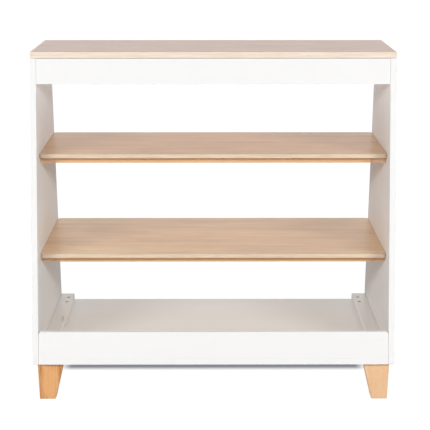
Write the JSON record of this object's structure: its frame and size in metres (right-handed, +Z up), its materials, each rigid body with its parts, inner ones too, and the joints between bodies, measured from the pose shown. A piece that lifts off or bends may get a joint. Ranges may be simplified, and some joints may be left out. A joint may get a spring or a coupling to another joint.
{
  "type": "changing table",
  "caption": "Open changing table with splayed side panels, a flat top, two shelves on beech frames and a bottom tray on short tapered legs.",
  "frame": {"origin": "on the floor, under the middle of the table", "axes": "+X to the right as seen from the front, -Y out of the front, +Z up"},
  "size_m": [1, 0.6094, 0.96],
  "materials": {
    "white_lacquer": "satin white lacquer on board",
    "birch_ply": "birch plywood with a clear satin lacquer",
    "beech": "solid beech with a clear satin lacquer",
    "zinc_steel": "zinc plated",
    "grey_felt": "pressed felt"
  },
  "bodies": {
    "root": {"bar_bolt_front_left": "zinc_steel", "bar_bolt_front_right": "zinc_steel", "bar_bolt_rear_left": "zinc_steel", "bar_bolt_rear_right": "zinc_steel", "bar_peg": "beech", "base_bar_left": "white_lacquer", "base_bar_right": "white_lacquer", "bottom_board": "white_lacquer", "front_apron": "white_lacquer", "front_apron_dowel_lower_left": "beech", "front_apron_dowel_lower_right": "beech", "front_apron_dowel_upper_left": "beech", "front_apron_dowel_upper_right": "beech", "glide_front_left": "grey_felt", "glide_front_right": "grey_felt", "glide_rear_left": "grey_felt", "glide_rear_right": "grey_felt", "leg_bolt_front_left": "zinc_steel", "leg_bolt_front_right": "zinc_steel", "leg_bolt_rear_left": "zinc_steel", "leg_bolt_rear_right": "zinc_steel", "leg_front_left": "beech", "leg_front_right": "beech", "leg_rear_left": "beech", "leg_rear_right": "beech", "lip_screw_1": "zinc_steel", "lip_screw_2": "zinc_steel", "lip_screw_3": "zinc_steel", "lower_cleat_left": "beech", "lower_cleat_right": "beech", "lower_cleat_screw_front_left": "zinc_steel", "lower_cleat_screw_front_right": "zinc_steel", "lower_cleat_screw_rear_left": "zinc_steel", "lower_cleat_screw_rear_right": "zinc_steel", "lower_front_rail": "beech", "lower_rear_rail": "beech", "lower_shelf": "birch_ply", "rear_apron": "white_lacquer", "rear_apron_dowel_lower_left": "beech", "rear_apron_dowel_lower_right": "beech", "rear_apron_dowel_upper_left": "beech", "rear_apron_dowel_upper_right": "beech", "side_panel_left": "white_lacquer", "side_panel_right": "white_lacquer", "top_board": "birch_ply", "top_dowel_front_left": "beech", "top_dowel_front_right": "beech", "top_dowel_rear_left": "beech", "top_dowel_rear_right": "beech", "tray_lip": "white_lacquer", "upper_cleat_left": "beech", "upper_cleat_right": "beech", "upper_cleat_screw_front_left": "zinc_steel", "upper_cleat_screw_front_right": "zinc_steel", "upper_cleat_screw_rear_left": "zinc_steel", "upper_cleat_screw_rear_right": "zinc_steel", "upper_front_rail": "beech", "upper_rear_rail": "beech", "upper_shelf": "birch_ply"}
  },
  "joints": []
}
